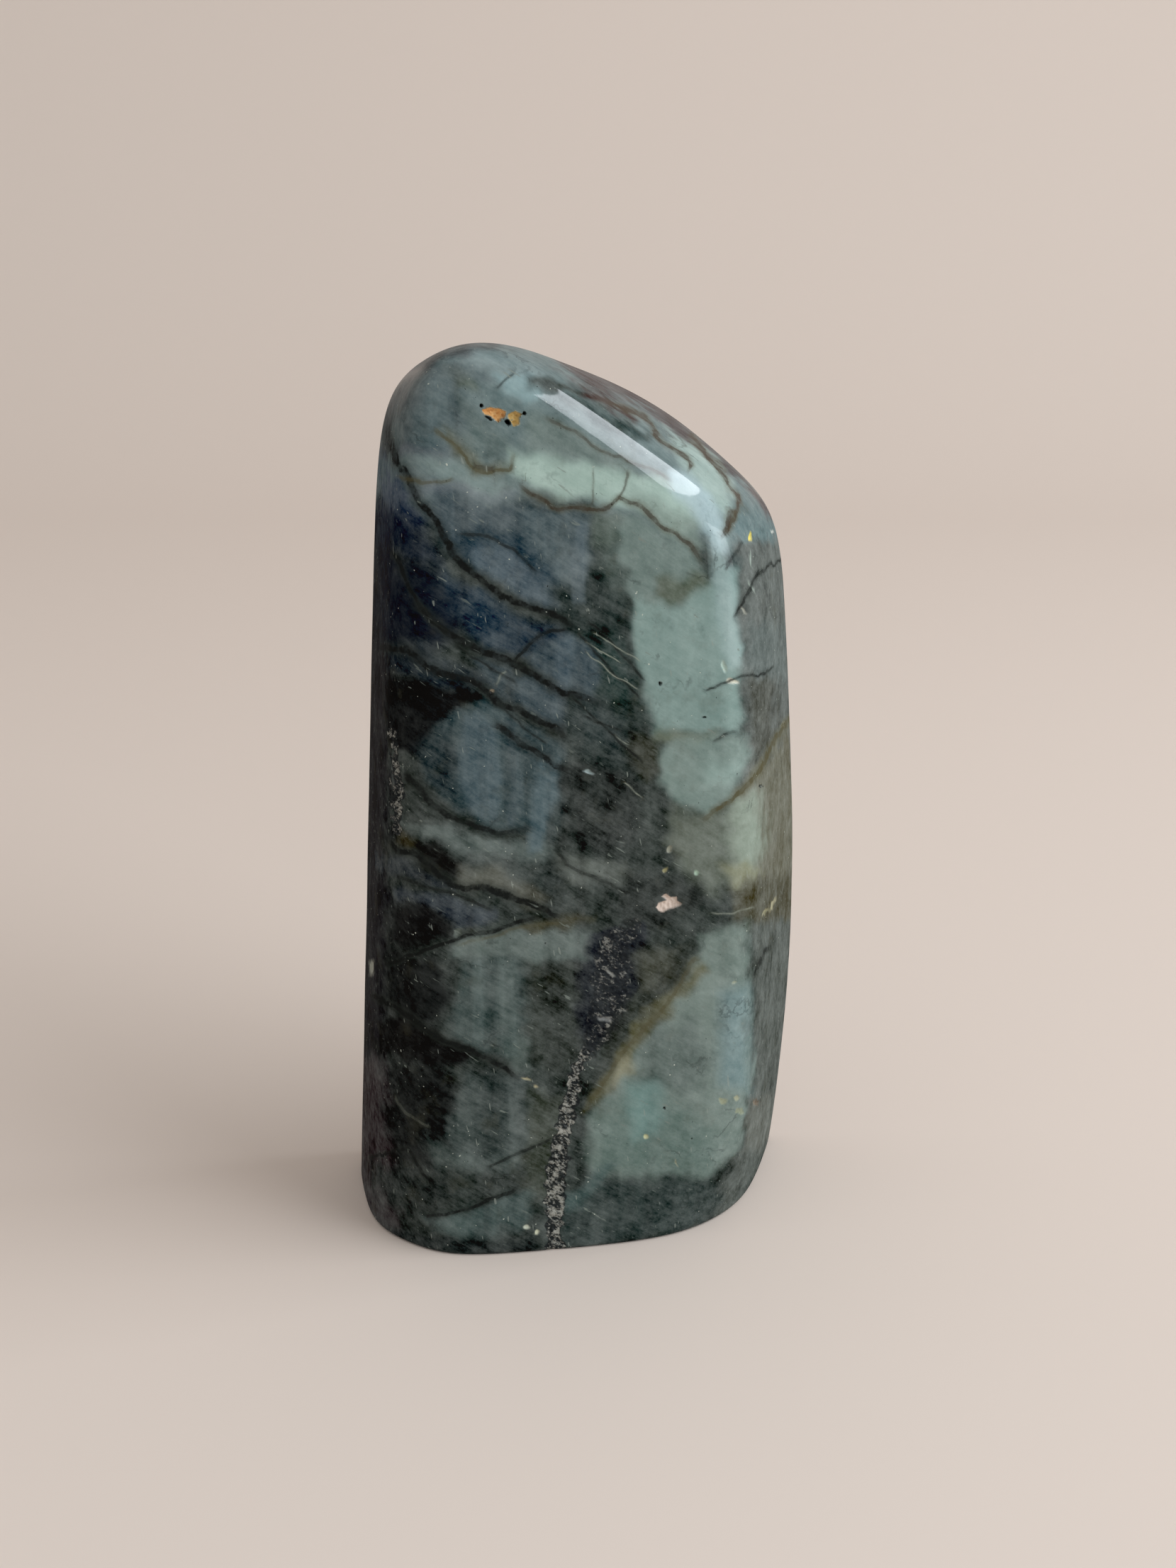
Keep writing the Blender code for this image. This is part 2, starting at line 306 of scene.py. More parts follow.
     ((654, 1350), (740, 1350), (748, 1440), (720, 1490), (660, 1480), (636, 1440), (650, 1390))),
    ("dark left", (7, 11, 12), 12, 0.9,
     ((545, 1345), (612, 1348), (638, 1400), (620, 1444), (560, 1444), (545, 1400))),
    ("dark wedge", (2, 3, 3), 5, 1,
     ((530, 1440), (582, 1436), (624, 1452), (684, 1490), (650, 1500), (590, 1496), (530, 1484))),
    ("right of column", (56, 62, 58), 10, 0.9,
     ((745, 1355), (820, 1355), (820, 1480), (790, 1520), (745, 1500))),
    ("bright sliver", (92, 104, 100), 8, 0.8,
     ((712, 1474), (742, 1458), (744, 1512), (716, 1506))),
    ("lower dark", (18, 22, 22), 18, 0.9,
     ((545, 1495), (630, 1495), (650, 1560), (634, 1640), (560, 1650), (545, 1570))),
    ("lower fan", (70, 80, 78), 10, 0.9,
     ((664, 1512), (740, 1520), (745, 1600), (720, 1640), (640, 1640), (628, 1600))),
    ("crescent", (88, 99, 96), 9, 0.8,
     ((600, 1600), (640, 1625), (700, 1630), (745, 1600), (740, 1640), (680, 1655), (610, 1645))),
    ("olive lower", (62, 68, 60), 14, 0.8,
     ((745, 1540), (800, 1540), (785, 1700), (745, 1690))),
    ("low left dark", (46, 53, 51), 12, 0.8,
     ((520, 1640), (600, 1650), (640, 1680), (600, 1700), (530, 1700))),
    ("teal band", (82, 97, 95), 9, 0.9,
     ((590, 1716), (656, 1710), (700, 1694), (748, 1680), (754, 1724), (700, 1740), (620, 1740))),
    ("bottom edge", (42, 49, 48), 9, 0.9,
     ((515, 1720), (600, 1745), (760, 1745), (760, 1785), (500, 1785))),
    ("triangle", (114, 128, 122), 12, 1,
     ((972, 1372), (996, 1322), (1048, 1300), (1058, 1400), (1056, 1560), (1040, 1620),
      (1000, 1655), (930, 1662), (860, 1665), (825, 1640), (830, 1590), (880, 1500),
      (940, 1420))),
    ("triangle's foot", (98, 116, 110), 24, 0.9,
     ((840, 1590), (890, 1530), (960, 1560), (1020, 1590), (1000, 1650), (900, 1655),
      (840, 1640))),
    ("triangle's shade", (94, 106, 102), 20, 0.8,
     ((905, 1450), (980, 1440), (1010, 1500), (960, 1540), (900, 1530))),
    ("triangle's glow", (118, 146, 142), 14, 0.7,
     ((884, 1530), (930, 1522), (932, 1592), (896, 1606))),
    ("left of diagonal", (56, 61, 56), 10, 0.8,
     ((900, 1330), (980, 1330), (940, 1400), (890, 1450), (850, 1530), (825, 1560), (850, 1470),
      (895, 1400))),
    ("olive diagonal", (90, 91, 72), 7, 0.9,
     ((985, 1362), (1000, 1372), (930, 1440), (890, 1495), (845, 1560), (826, 1570), (850, 1520),
      (895, 1450), (945, 1395))),
    ("beige on the diagonal", (142, 142, 120), 7, 0.8,
     ((866, 1500), (892, 1484), (892, 1508), (866, 1528))),
    ("grey patch", (90, 94, 86), 12, 0.7,
     ((900, 1340), (948, 1335), (930, 1392), (904, 1396))),
    ("low facet", (84, 90, 86), 8, 1,
     ((1058, 1300), (1125, 1300), (1110, 1460), (1085, 1620), (1040, 1710), (1000, 1725),
      (1030, 1660), (1050, 1600), (1060, 1500))),
    ("low facet's light", (106, 110, 104), 10, 0.7,
     ((1058, 1550), (1092, 1550), (1078, 1625), (1050, 1620))),
    ("left foot's light", (82, 82, 82), 8, 0.7,
     ((506, 1672), (546, 1676), (554, 1738), (510, 1732))),
    ("bottom right", (56, 66, 64), 12, 0.95,
     ((795, 1690), (860, 1668), (1000, 1662), (1020, 1690), (980, 1740), (790, 1765))),
    ("teal streak", (82, 100, 98), 8, 0.7,
     ((800, 1690), (840, 1640), (870, 1640), (820, 1700), (802, 1715))),
)
# Painted reflections, shown only in front: the sheen round the shoulder and soft upright bands
PAINTED_REFLECTIONS = (
    ("upright reflection band", (100, 113, 118), 5, 0.55,
     ((812, 735), (828, 738), (826, 850), (810, 850), (806, 790))),
    ("reflection band in the grey cell", (88, 104, 112), 6, 0.6,
     ((786, 900), (808, 898), (802, 980), (784, 974))),
    ("big cell's reflection band", (86, 101, 106), 6, 0.7,
     ((656, 1006), (676, 1004), (700, 1030), (706, 1090), (704, 1158), (668, 1150), (648, 1100),
      (646, 1050))),
    ("big cell's narrow reflection band", (84, 98, 102), 4, 0.6,
     ((716, 1016), (730, 1024), (738, 1110), (728, 1166), (716, 1160), (722, 1100))),
    ("big cell's right reflection band", (96, 114, 119), 5, 0.75,
     ((758, 1076), (790, 1070), (788, 1120), (768, 1160), (764, 1200), (744, 1204), (750, 1140))),
    ("big cell's top", (88, 102, 107), 6, 0.6,
     ((722, 958), (748, 956), (790, 984), (796, 1022), (770, 1018), (738, 1000))),
    ("column's reflection band", (98, 111, 108), 4, 0.6,
     ((702, 1352), (726, 1352), (732, 1490), (710, 1492))),
    ("column's left reflection band", (90, 104, 102), 4, 0.5,
     ((664, 1352), (678, 1352), (684, 1470), (668, 1470))),
    ("fan's reflection band", (90, 99, 97), 4, 0.6,
     ((714, 1516), (738, 1514), (744, 1622), (720, 1628))),
    ("shoulder sheen", (150, 170, 168), 8, 0.8,
     ((1000, 740), (1022, 745), (1026, 800), (1036, 850), (1044, 940), (1030, 940), (1014, 860),
      (1006, 800))),
    ("turn of the sheen", (168, 190, 194), 8, 0.75,
     ((944, 664), (970, 666), (1000, 694), (1020, 738), (1024, 780), (1010, 784), (996, 752),
      (970, 716), (944, 692))),
    ("triangle's blue edge", (116, 138, 140), 14, 0.7,
     ((1015, 1400), (1056, 1390), (1056, 1540), (1015, 1530))),
)

# Seams and veins: name, half width in pixels, kind (0 black, 1 brown, 2 olive, 3 pale),
# strength, points in the photo's pixels
VEINS = (
    ("long seam", 4.8, 0, 1.0,
     ((548, 570), (548, 613), (559, 649), (574, 669), (589, 700), (610, 730), (633, 766),
      (653, 794), (679, 815), (709, 840), (742, 853), (776, 863), (801, 878), (812, 890))),
    ("long seam's fork", 2.6, 0, 0.8, ((800, 884), (768, 895), (737, 917), (725, 934))),
    ("second seam", 5.4, 0, 1.0,
     ((575, 846), (589, 855), (622, 883), (643, 901), (666, 909), (691, 924), (719, 934),
      (745, 945), (776, 965), (796, 978), (819, 983), (872, 1004))),
    ("third seam", 5.0, 0, 1.0,
     ((532, 908), (546, 914), (577, 919), (607, 940), (643, 955), (679, 970), (704, 991),
      (735, 1003), (768, 1019), (786, 1029), (800, 1048))),
    ("fourth seam", 4.4, 0, 0.9,
     ((692, 1018), (722, 1039), (750, 1059), (776, 1077), (808, 1092))),
    ("link", 1.4, 3, 0.35, ((714, 948), (706, 956), (698, 967))),
    ("fifth seam", 4.6, 0, 0.9,
     ((568, 1088), (579, 1100), (602, 1123), (620, 1144), (643, 1156), (674, 1167), (704, 1173),
      (756, 1170))),
    ("sixth seam", 4.6, 0, 0.95,
     ((525, 1168), (564, 1200), (584, 1205), (638, 1247), (685, 1253), (728, 1267), (767, 1283),
      (796, 1296))),
    ("thin seam, left", 2.6, 0, 0.8,
     ((552, 770), (566, 800), (582, 838), (604, 872), (636, 896))),
    ("thin seam, top", 1.6, 0, 0.6, ((640, 906), (668, 925), (702, 950), (730, 962))),
    ("hatch one", 1.6, 0, 0.7, ((812, 890), (846, 926), (876, 958), (904, 990))),
    ("hatch two", 1.6, 0, 0.7, ((826, 878), (858, 902), (890, 938), (908, 962))),
    ("hatch three", 1.8, 0, 0.7, ((800, 978), (836, 1012), (874, 1046), (906, 1076))),
    ("hatch four", 1.6, 0, 0.6, ((820, 1010), (850, 1022), (880, 1030))),
    ("hatch five", 1.6, 0, 0.6, ((700, 990), (740, 1026), (772, 1052))),
    ("low dark line", 2.4, 0, 0.7, ((780, 1196), (812, 1226), (858, 1248), (892, 1262))),
    ("low dark line, left", 2.4, 0, 0.7, ((556, 1236), (600, 1250), (652, 1264), (700, 1286))),
    ("crown line", 2.2, 2, 0.5, ((560, 672), (600, 680), (640, 676))),
    ("low crack", 3.0, 0, 0.9,
     ((540, 1362), (555, 1358), (585, 1345), (630, 1334), (656, 1322), (695, 1313), (734, 1303),
      (772, 1293))),
    ("low crack's stain", 2.0, 2, 0.35, ((640, 1338), (695, 1321), (734, 1311), (800, 1300))),
    ("slanting crack", 3.6, 0, 1.0,
     ((520, 1400), (536, 1410), (581, 1436), (630, 1467), (663, 1482), (695, 1498), (740, 1526))),
    ("foot line", 2.4, 0, 0.8, ((520, 1634), (533, 1631), (575, 1621), (591, 1644), (614, 1676))),
    ("foot line, right", 2.2, 0, 0.7, ((686, 1646), (728, 1628), (780, 1604))),
    ("foot seam", 2.4, 0, 0.9, ((600, 1716), (614, 1713), (656, 1706), (689, 1693), (735, 1674))),
    ("crown crack", 1.6, 0, 0.5, ((698, 548), (725, 526))),
    ("crown stain", 2.6, 2, 0.7,
     ((612, 604), (622, 613), (648, 633), (666, 659), (689, 667), (702, 664), (719, 662),
      (728, 634))),
    ("crown spot", 3.6, 1, 0.6, ((668, 657), (684, 660), (700, 662))),
    ("cell's top", 2.0, 0, 0.6,
     ((640, 754), (679, 756), (702, 764), (722, 776), (745, 794), (762, 812))),
    ("brown band", 2.8, 1, 0.7,
     ((730, 682), (740, 690), (768, 705), (783, 718), (812, 716), (844, 720), (871, 702),
      (887, 708), (909, 718), (930, 740), (951, 750), (967, 764), (981, 780), (992, 806))),
    ("upright", 1.6, 1, 0.35, ((835, 658), (836, 690), (834, 716))),
    ("upright, right", 1.8, 1, 0.5, ((888, 660), (884, 688), (866, 708))),
    ("under the shine", 2.4, 1, 0.5,
     ((758, 586), (811, 610), (841, 632), (882, 648), (918, 662), (950, 682))),
    ("over the shine", 2.4, 1, 0.8,
     ((846, 560), (880, 576), (914, 592), (930, 619), (946, 630), (967, 643), (976, 656),
      (968, 668))),
    ("shoulder curve", 2.6, 1, 0.85,
     ((970, 612), (978, 619), (994, 641), (1016, 662), (1029, 686), (1041, 700), (1040, 721),
      (1029, 745), (1014, 762))),
    ("shoulder pocket", 4.5, 1, 0.8, ((1034, 716), (1028, 736), (1022, 756))),
    ("facet line", 1.8, 0, 0.6, ((1050, 764), (1038, 784), (1020, 806))),
    ("facet line, long", 2.0, 0, 0.7, ((1072, 800), (1054, 838), (1034, 874))),
    ("facet branch", 2.2, 0, 0.7, ((1068, 811), (1080, 803), (1106, 788))),
    ("facet line, low", 2.2, 0, 0.7, ((1064, 1378), (1072, 1356), (1086, 1332))),
    ("twig", 2.0, 0, 0.7,
     ((994, 976), (1002, 972), (1021, 964), (1049, 953), (1077, 950), (1092, 938))),
    ("twig, low", 2.0, 0, 0.6, ((1004, 1047), (1038, 1031))),
    ("right seam", 3.4, 2, 0.85,
     ((1116, 1008), (1111, 1017), (1092, 1045), (1077, 1073), (1061, 1099), (1033, 1127),
      (1010, 1143), (986, 1162))),
    ("olive line", 3.4, 2, 0.5,
     ((990, 1350), (978, 1360), (959, 1388), (933, 1423), (898, 1462), (872, 1497), (850, 1529),
      (822, 1572))),
    ("pale curve", 1.2, 3, 0.3, ((998, 1290), (1030, 1288), (1064, 1281))),
    ("scratch one", 0.8, 3, 0.5, ((824, 906), (850, 920), (877, 935))),
    ("scratch two", 0.8, 3, 0.4, ((836, 894), (868, 912), (902, 932))),
    ("scratch three", 0.9, 3, 0.45, ((826, 919), (862, 947), (902, 977))),
    ("scratch four", 0.9, 3, 0.4, ((866, 1038), (876, 1044), (888, 1050))),
    ("scratch five", 0.9, 3, 0.4, ((880, 1101), (893, 1112), (907, 1124))),
    ("light arc", 2.0, 3, 0.12, ((556, 1546), (568, 1563), (584, 1578), (610, 1592))),
)
PALE_VEIN = 3
CURVE_STEPS = 5  # straight pieces between two points of a vein
VEIN_REACH = 3.5  # in half widths: how far a vein's stain spreads
VEIN_SPARE = 14  # pixels of a vein's layer kept past its reach
VEIN_MARGIN = 30  # pixels round a vein's line that are looked through
VEIN_TAPER = 0.12  # share of its length over which a vein fades in and out

# Flaws of the skin: name, colour, depth in mm, then an outline in the photo's pixels, or
# middle and half sizes in pixels with a turn in degrees
OPEN_FLAWS = (
    ("ochre pocket, left", (236, 192, 132), 0.8,
     ((681, 579), (691, 575), (703, 576), (714, 580), (713, 587), (706, 590), (703, 595),
      (697, 590), (691, 585), (685, 585))),
    ("ochre pocket, right", (220, 194, 136), 0.8,
     ((718, 584), (727, 580), (736, 584), (732, 589), (733, 598), (725, 601), (721, 595),
      (718, 590))),
    ("pale chip", (206, 190, 178), 0.35,
     ((925, 1281), (929, 1274), (941, 1270), (934, 1264), (939, 1261), (946, 1266), (954, 1266),
      (955, 1271), (962, 1275), (958, 1278), (951, 1280), (943, 1282), (936, 1287),
      (929, 1285))),
)
FLAWS = (
    ("pocket's dark lip", (40, 32, 24), 1.0, (679, 573), (4, 3.5), 30),
    ("pocket's dark edge", (34, 27, 22), 1.0, (689, 589), (6, 2.5), 20),
    ("pocket's dark foot", (26, 22, 20), 1.1, (716, 596), (5, 4.5), 20),
    ("pocket's dark corner", (36, 32, 26), 0.9, (739, 583), (3.5, 4), -40),
    ("yellow grain", (214, 200, 104), 0.2, (1059, 756), (3.5, 7.5), 0),
    ("white grain", (204, 208, 200), 0.15, (1089, 750), (1.8, 4), 10),
    ("scratch", (158, 172, 162), 0.15, (1059, 788), (2, 14), -12),
    ("scratch below", (158, 172, 162), 0.15, (1060, 828), (2, 12), -30),
    ("scratch end", (170, 172, 160), 0.15, (1048, 861), (1.8, 8), -38),
    ("flake", (170, 190, 180), 0.2, (1022, 940), (4.5, 9.5), -12),
    ("flake below", (206, 206, 190), 0.2, (1034, 962), (10, 4.5), 12),
    ("edge flake", (186, 190, 176), 0.15, (1105, 1022), (3, 6), 24),
    ("crystal slab", (158, 154, 128), 0.15, (1090, 1276), (3, 13), 24),
    ("crystal slab, left", (140, 138, 112), 0.2, (1080, 1286), (2.5, 9), 40),
    ("star cluster", (150, 152, 138), 0.2, (944, 1198), (4.5, 6), 0),
    ("yellow crystal", (150, 146, 110), 0.15, (938, 1228), (4, 6), 30),
    ("mint crystal", (160, 182, 164), 0.15, (981, 1231), (4, 5), 0),
    ("flakes", (140, 156, 156), 0.15, (830, 1089), (9, 3.5), 12),
    ("beige grain", (180, 168, 148), 0.2, (693, 974), (4, 4), 0),
    ("left flake", (150, 152, 142), 0.2, (524, 1365), (4, 13), 4),
    ("crystals on the seam", (84, 92, 86), 0.15, (645, 1318), (6, 10), 35),
    ("beads", (180, 174, 142), 0.15, (741, 1523), (8, 2), 24),
    ("bead", (180, 174, 142), 0.15, (758, 1532), (4, 2), 40),
    ("seam glint", (190, 192, 184), 0.15, (861, 1373), (9, 3), 35),
    ("seam glint below", (170, 174, 172), 0.2, (852, 1438), (13, 4), 12),
    ("lower grain", (196, 198, 160), 0.15, (912, 1604), (5, 4), 0),
    ("lower splinter", (166, 168, 146), 0.15, (954, 1640), (1.6, 7), -20),
    ("white grain, low", (190, 196, 180), 0.15, (743, 1731), (5, 4), 0),
    ("white grain, lower", (200, 204, 180), 0.15, (759, 1737), (4, 4), 0),
    ("band glint", (206, 206, 198), 0.15, (793, 1592), (7, 3), 5),
    ("black pit", (14, 14, 14), 0.5, (932, 964), (3, 3), 0),
    ("black pit, right", (14, 14, 14), 0.5, (992, 1011), (4, 2), 0),
    ("black pit, low", (14, 14, 14), 0.5, (1073, 1108), (3, 3), 0),
    ("black pit, lower", (14, 14, 14), 0.5, (938, 1564), (3, 3), 0),
    ("cream crystals", (146, 152, 130), 0.1, (1020, 1553), (8, 4), 20),
    ("cream crystals, right", (156, 160, 138), 0.1, (1038, 1548), (6, 4), -20),
    ("cream crystals, low", (140, 148, 128), 0.1, (1043, 1567), (7, 5), 30),
    ("cream speck", (150, 158, 142), 0.1, (1036, 1386), (5, 3), 0),
    ("edge pit", (120, 112, 100), 0.3, (1067, 1555), (4, 6), -30),
)

# The crumbling seam down to the base, and the crack by the left edge:
# (x, y, half width) in the photo's pixels, with the depth of their grit in mm and how open
# they are
CRUMBLING = (
    (
        "seam head", 0.08, 0.3,
        ((894, 1302, 10), (868, 1335, 26), (862, 1380, 30), (856, 1425, 29), (836, 1470, 17),
         (824, 1496, 10)),
    ),
    (
        "seam", 0.14, 1.0,
        ((826, 1486, 5), (812, 1510, 9), (806, 1540, 11), (800, 1572, 12), (794, 1600, 11),
         (788, 1636, 14), (786, 1660, 15), (784, 1700, 14), (780, 1740, 11), (784, 1765, 13)),
    ),
    (
        "left crack", 0.18, 0.9,
        ((549, 1028, 2), (557, 1052, 3), (559, 1078, 6), (561, 1110, 8), (560, 1145, 8),
         (560, 1172, 5)),
    ),
)


def face_table():
    """Unit normals and distances of the ground faces."""
    rows = np.array(list(GROUND_FACES.values()), dtype=float)
    way, tilt = np.radians(rows[:, 0]), np.radians(rows[:, 1])
    normals = np.stack(
        [np.cos(way) * np.cos(tilt), np.sin(way) * np.cos(tilt), np.sin(tilt)], axis=1
    )
    return normals, rows[:, 2]


NORMALS, DISTANCES = face_table()


def fullness(points):
    """Below 1 inside the stone, 1 on its skin: the ground faces blended softly."""
    share = np.maximum(0.0, (points - np.array(HEART)) @ NORMALS.T / DISTANCES)
    return (share**CRISPNESS).sum(axis=1) ** (1 / CRISPNESS)


def outward(points):
    """The skin's unit normals."""
    share = np.maximum(0.0, (points - np.array(HEART)) @ NORMALS.T / DISTANCES)
    way = (share ** (CRISPNESS - 1) / DISTANCES) @ NORMALS
    return way / np.linalg.norm(way, axis=1, keepdims=True)


def onto_skin(points):
    """Move points of the block straight out or in until they lie on the stone's skin."""
    start = np.repeat([HEART], len(points), axis=0)
    start[:, 2] = np.minimum(points[:, 2], CROWN_START)
    way = points - start
    way /= np.linalg.norm(way, axis=1, keepdims=True)
    inner, outer = np.zeros(len(points)), np.full(len(points), REACH)
    for _ in range(HALVINGS):
        middle = (inner + outer) / 2
        inside = fullness(start + way * middle[:, None]) < 1
        inner = np.where(inside, middle, inner)
        outer = np.where(inside, outer, middle)
    return start + way * inner[:, None]


def places(verts):
    """Where vertices lie, one row each."""
    return np.array([vert.co for vert in verts])


def move(verts, spots):
    """Set each vertex on its own spot."""
    for vert, spot in zip(verts, spots):
        vert.co = spot


def rough_block():
    """A block of even cells standing on z = 0, open underneath."""
    bm = bmesh.new()
    bmesh.ops.create_cube(bm, size=1)
    for axis, cells in enumerate(BLOCK_CELLS):
        along = [
            edge
            for edge in bm.edges
            if abs((edge.verts[0].co - edge.verts[1].co)[axis]) > 0.99 * edge.calc_length()
        ]
        bmesh.ops.subdivide_edges(bm, edges=along, cuts=cells - 1, use_grid_fill=True)
    bmesh.ops.translate(bm, verts=bm.verts, vec=(0, 0, 0.5))
    bmesh.ops.scale(bm, verts=bm.verts, vec=BLOCK)
    bmesh.ops.translate(bm, verts=bm.verts, vec=(HEART[0], HEART[1], 0))
    bottom = [face for face in bm.faces if all(vert.co.z < MM for vert in face.verts)]
    bmesh.ops.delete(bm, geom=bottom, context="FACES")
    return bm


def saw_base(bm):
    """Close the stone with one flat face and soften the rim round it."""
    rim = [edge for edge in bm.edges if edge.is_boundary]
    bmesh.ops.edgeloop_fill(bm, edges=rim)
    bmesh.ops.bevel(
        bm,
        geom=rim,
        offset=RIM_BEVEL,
        offset_type="OFFSET",
        segments=3,
        profile=0.5,
        affect="EDGES",
        material=-1,
    )


def photo_place(points):
    """Where the photograph's camera sees points, in its pixels."""
    away = points - np.array(EYE)
    ahead = away[:, 1] * math.cos(LOOK_DOWN) - away[:, 2] * math.sin(LOOK_DOWN)
    up = away[:, 1] * math.sin(LOOK_DOWN) + away[:, 2] * math.cos(LOOK_DOWN)
    return np.stack(
        [PHOTO[0] / 2 + PIXELS * away[:, 0] / ahead, PHOTO[1] / 2 - PIXELS * up / ahead], axis=1
    )


def buried(points):
    """How many millimetres of stone lie between points of the skin and the camera."""
    eye = np.array(EYE)
    way = points - eye
    near, far = np.full(len(points), SEARCH_START), np.ones(len(points))
    for _ in range(NARROWINGS):
        left, right = near + (far - near) / 3, far - (far - near) / 3
        full_left = fullness(eye + way * left[:, None])
        full_right = fullness(eye + way * right[:, None])
        near = np.where(full_left > full_right, left, near)
        far = np.where(full_left > full_right, far, right)
    deepest = (near + far) / 2
    outside, inside = np.full(len(points), SEARCH_START), deepest.copy()
    for _ in range(NARROWINGS):
        middle = (outside + inside) / 2
        clear = fullness(eye + way * middle[:, None]) > 1
        outside = np.where(clear, middle, outside)
        inside = np.where(clear, inside, middle)
    length = np.linalg.norm(way, axis=1)
    return np.where(deepest > 1 - 1e-4, 0.0, (1 - inside) * length)


def smooth_step(value):
    """Ease values from 0 to 1, and hold them there outside that range."""
    value = np.clip(value, 0, 1)
    return value * value * (3 - 2 * value)


def in_oval(spots, middle, half, turn):
    """1 at an oval's middle, 0 at its edge and below 0 outside, in the photo's pixels."""
    turn = math.radians(turn)
    x, y = spots[:, 0] - middle[0], spots[:, 1] - middle[1]
    along = x * math.cos(turn) + y * math.sin(turn)
    across = y * math.cos(turn) - x * math.sin(turn)
    return 1 - np.hypot(along / half[0], across / half[1])


def in_run(spots, run):
    """1 on the middle line of a run, 0 at its edge and below 0 outside."""
    found = np.full(len(spots), -np.inf)
    for (x0, y0, wide0), (x1, y1, wide1) in zip(run, run[1:]):
        way = np.array([x1 - x0, y1 - y0])
        part = np.clip((spots - (x0, y0)) @ way / (way @ way), 0, 1)
        gap = np.linalg.norm(spots - (x0, y0) - part[:, None] * way, axis=1)
        found = np.maximum(found, 1 - gap / (wide0 + part * (wide1 - wide0)))
    return found


def beyond_flaws(spots):
    """Roughly how many millimetres places of the photo lie outside the nearest flaw."""
    found = np.full(len(spots), np.inf)
    for _, _, _, outline in OPEN_FLAWS:
        found = np.minimum(found, -inside_outline(spots, outline))
    for _, _, _, middle, half, turn in FLAWS:
        found = np.minimum(found, -in_oval(spots, middle, half, turn) * min(half))
    for _, _, _, run in CRUMBLING:
        found = np.minimum(found, -in_run(spots, run) * RUN_SPREAD)
    return found / PIXELS_PER_MM


def refine(bm):
    """Halve the edges that the photograph shows, and those at the flaws until they can
    hold them."""
    edges = bm.edges[:]
    while True:
        ends = np.array([(*edge.verts[0].co, *edge.verts[1].co) for edge in edges])
        length = np.linalg.norm(ends[:, :3] - ends[:, 3:], axis=1)
        middles = (ends[:, :3] + ends[:, 3:]) / 2
        facing = ((np.array(EYE) - middles) * outward(middles)).sum(axis=1) > 0
        near = beyond_flaws(photo_place(middles)) < length * FLAW_MARGIN
        coarse = (length > SEEN_CELL) | near & (length > FLAW_CELL)
        pick = np.flatnonzero(facing & coarse & (length < LONGEST_CUT))
        if not len(pick):
            break
        made = bmesh.ops.subdivide_edges(
            bm,
            edges=[edges[i] for i in pick],
            cuts=1,
            use_grid_fill=True,
            use_single_edge=True,
        )
        fresh = [item for item in made["geom_inner"] if isinstance(item, bmesh.types.BMVert)]
        fresh = [vert for vert in fresh if vert.co.z > RIM_BEVEL]
        move(fresh, onto_skin(places(fresh)))
        edges = bm.edges[:]


def fold_back(value, ends):
    """Reflect values into a range, so that a pattern goes on past its edges."""
    low, high = ends
    part = np.mod((value - low) / (high - low), 2)
    return low + (high - low) * np.where(part > 1, 2 - part, part)


def noise_rows(points, size):
    """A smooth random shift for each point, in swirls about this many millimetres wide."""
    return np.array([noise.noise_vector(Vector(point) / size)[:2] for point in points])


def noise_values(points, size):
    """A smooth random number for each point, in grains about this many millimetres wide."""
    return np.array([noise.noise(Vector(point) / size) for point in points])


def swirled(points, swirls):
    """How far swirls of several sizes shift the pattern at each point, in pixels."""
    return sum(noise_rows(points, size) * shift for size, shift in swirls)


def pattern_place(points, deep):
    """The place of each point in the stone's pattern: the photo's pixels where the camera
    sees it, and slanting away from them behind."""
    spots = photo_place(points)
    spots = spots + np.outer(deep, SLANT) + swirled(points, DEEP_SWIRLS) * deep[:, None]
    spots += swirled(points, PATTERN_SWIRLS)
    across = fold_back(spots[:, 0], PATTERN_SIDES)
    down = fold_back(spots[:, 1], PATTERN_ENDS)
    hidden = smooth_step(deep / FOLD_DEPTH)
    spots[:, 0] += (across - spots[:, 0]) * hidden
    spots[:, 1] += (down - spots[:, 1]) * hidden
    return spots


def linear(colour):
    """A colour of 0 to 255 as light."""
    part = np.array(colour) / 255
    return np.where(part <= 0.04045, part / 12.92, ((part + 0.055) / 1.055) ** 2.4)


def inside_outline(spots, outline):
    """Distance in pixels to a closed outline, positive inside it."""
    x, y = spots[:, 0], spots[:, 1]
    nearest, inside = np.full(len(spots), np.inf), np.zeros(len(spots), bool)
    for (x0, y0), (x1, y1) in zip(outline, outline[1:] + outline[:1]):
        way = np.array([x1 - x0, y1 - y0])
        part = np.clip(((x - x0) * way[0] + (y - y0) * way[1]) / (way @ way), 0, 1)
        nearest = np.minimum(nearest, np.hypot(x - x0 - part * way[0], y - y0 - part * way[1]))
        if y0 != y1:
            crosses = ((y0 > y) != (y1 > y)) & (x < way[0] * (y - y0) / way[1] + x0)
            inside ^= crosses
    return np.where(inside, nearest, -nearest)


def paint_clouds(colour, clouds, spots, shown=1.0):
    """Lay clouds over the colours, in place, as strongly as they are shown."""
    for _, hue, softness, strength, outline in clouds:
        edge = inside_outline(spots, outline) / (2 * softness)
        mask = shown * strength * smooth_step(0.5 + edge)
        colour += (linear(hue) - colour) * mask[:, None]


